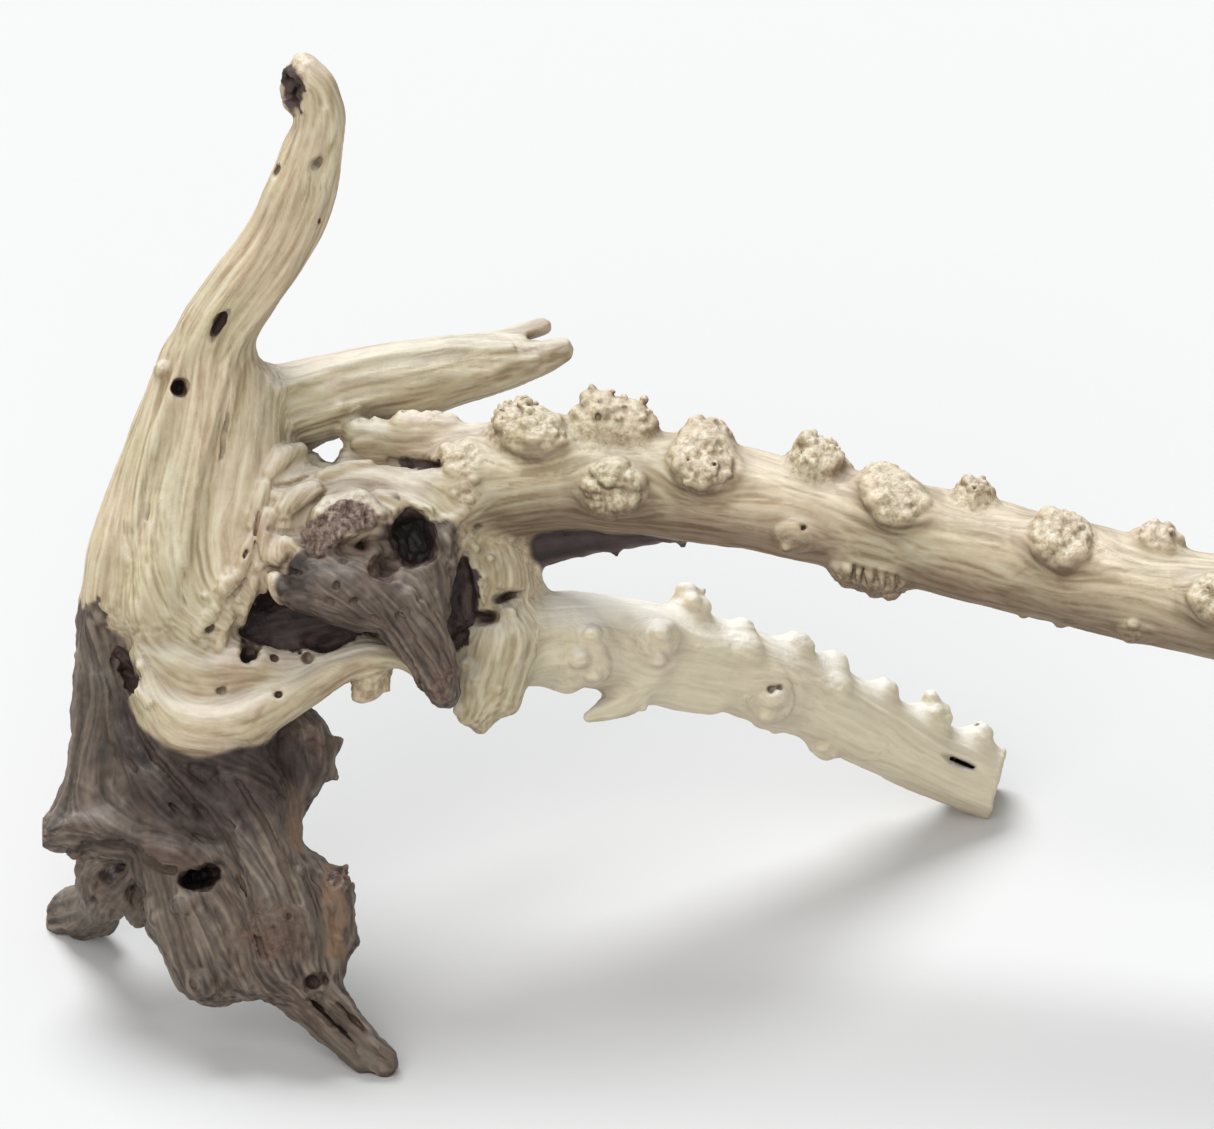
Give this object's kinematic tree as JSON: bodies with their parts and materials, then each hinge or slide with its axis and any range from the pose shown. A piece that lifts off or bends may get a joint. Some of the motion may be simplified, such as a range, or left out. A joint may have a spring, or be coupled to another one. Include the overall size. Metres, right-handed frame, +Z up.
{
  "type": "driftwood branch",
  "caption": "Weathered spiderwood: pale trunk slab with upright and forked branches, burled arms, a grey root mass and a foot; stands on three worn points",
  "frame": {"origin": "middle of the bounding box's base, on the ground that the wood stands on", "axes": "+Z up; +X along the long upper arm, to the viewer's right; -Y toward the viewer, on the side of the grey root"},
  "size_m": [0.4849, 0.2398, 0.3621],
  "materials": {
    "bleached_wood": "matte, weathered, cream with grey-brown root"
  },
  "bodies": {
    "root": {"spiderwood": "bleached_wood"}
  },
  "joints": []
}
